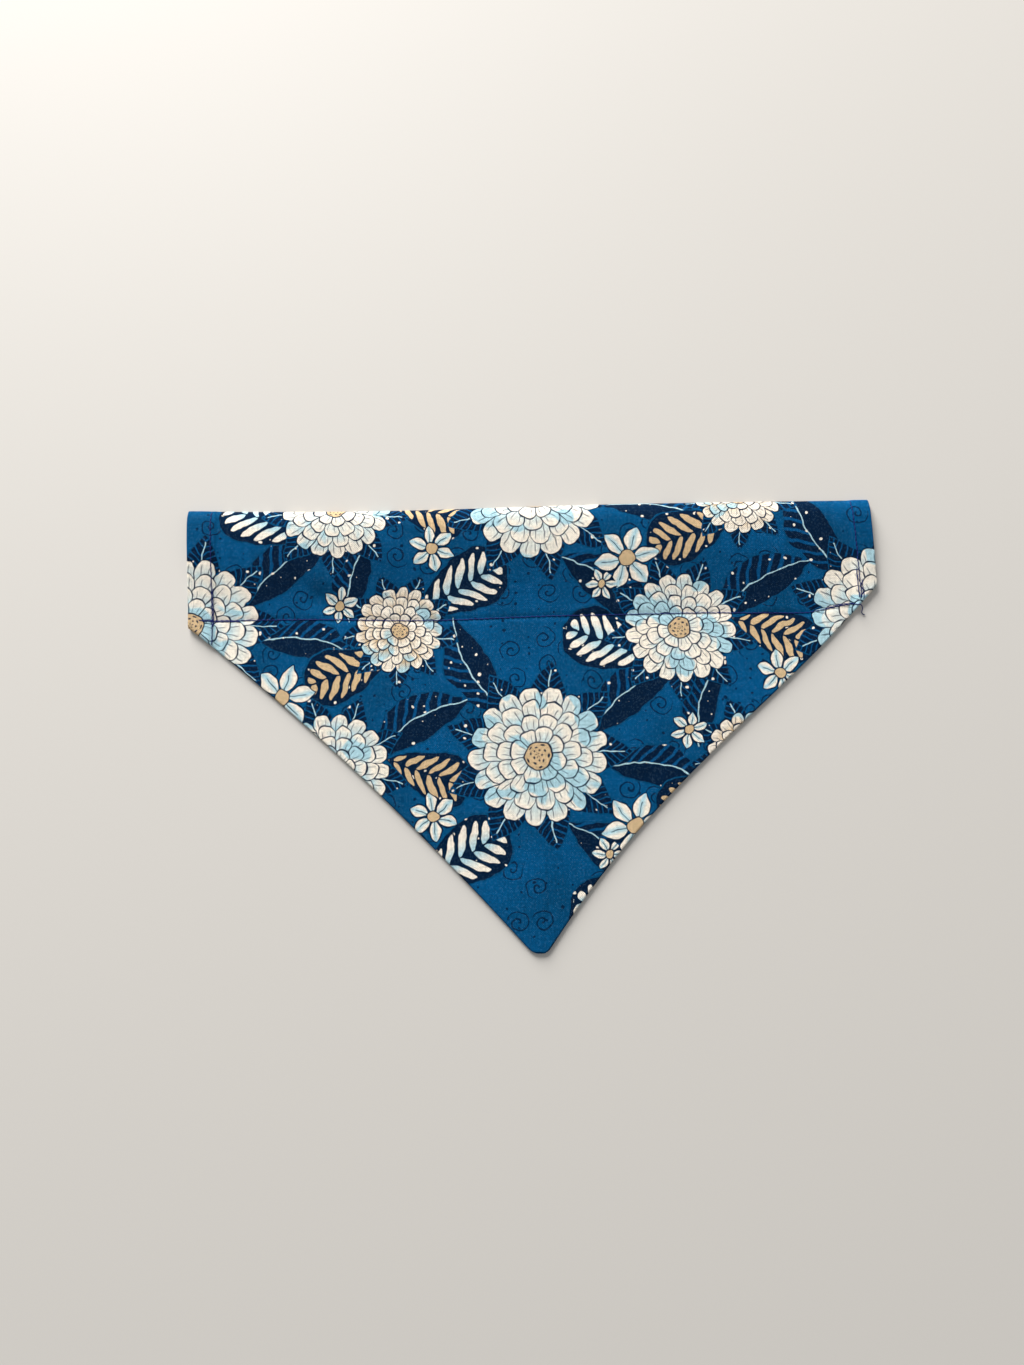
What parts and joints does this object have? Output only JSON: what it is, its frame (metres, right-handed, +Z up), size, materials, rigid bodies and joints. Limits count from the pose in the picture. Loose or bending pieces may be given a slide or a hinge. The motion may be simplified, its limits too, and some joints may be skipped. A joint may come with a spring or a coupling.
{
  "type": "over-the-collar pet bandana",
  "caption": "Triangular printed cotton pet bandana, folded double along its straight edge, with a sewn open-ended channel that slides over a collar.",
  "frame": {"origin": "on the surface that the bandana lies on, at the centre of the outline's box", "axes": "+X along the folded edge, +Y from the tip towards the folded edge, +Z up from the surface"},
  "size_m": [0.2717, 0.1738, 0.0085],
  "materials": {
    "printed_cotton": "matt plain-weave cotton, printed in blue, navy, cream, pale aqua and tan",
    "sewing_thread": "navy blue spun polyester sewing thread with a slight sheen"
  },
  "bodies": {
    "root": {"bandana_cloth": "printed_cotton"}
  },
  "joints": []
}
